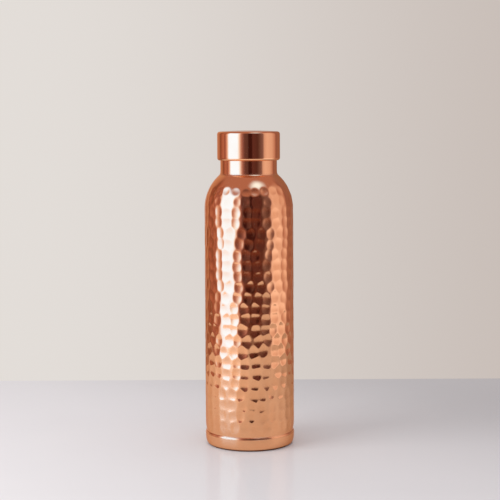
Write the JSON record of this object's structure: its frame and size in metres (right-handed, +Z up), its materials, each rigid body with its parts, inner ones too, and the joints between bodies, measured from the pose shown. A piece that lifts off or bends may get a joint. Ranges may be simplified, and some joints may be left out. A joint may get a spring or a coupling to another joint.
{
  "type": "copper water bottle",
  "caption": "Tall copper water bottle with a hammered body, domed shoulder, plain foot band and neck collar, and a polished screw cap with a silicone seal.",
  "frame": {"origin": "centre of the rest ring under the foot, on the surface that the bottle stands on", "axes": "+Z up the bottle's axis to the cap, -Y towards the front, +X to the right"},
  "size_m": [0.074, 0.074, 0.26],
  "materials": {
    "hammered_copper": "copper, hammered all over and mirror polished",
    "polished_copper": "copper, plain and mirror polished",
    "satin_copper": "copper, plain and lightly brushed",
    "braze_filler": "brazing filler, polished with the copper beside it",
    "silicone": "food-grade silicone, matt and slightly milky"
  },
  "bodies": {
    "bottle": {"body_shell": "hammered_copper", "base_cup": "polished_copper", "base_braze": "braze_filler", "neck_collar": "polished_copper", "mouth_ferrule": "satin_copper", "neck_braze": "braze_filler"},
    "seal": {"cap_seal": "silicone"},
    "cap": {"cap_shell": "polished_copper", "cap_liner": "satin_copper"}
  },
  "joints": [
    {"name": "cap_lift", "type": "slide", "parent": "bottle", "child": "seal", "axis": [0, 0, 1], "range_m": [0, 0.02]},
    {"name": "cap_turn", "type": "hinge", "parent": "seal", "child": "cap", "pos_m": [0, 0, 0.2478], "axis": [0, 0, 1], "range_deg": [0, 1800]}
  ],
  "couplings": [
    {"joint": "cap_lift", "follows": "cap_turn", "m_per_rad": 0.00063662}
  ]
}
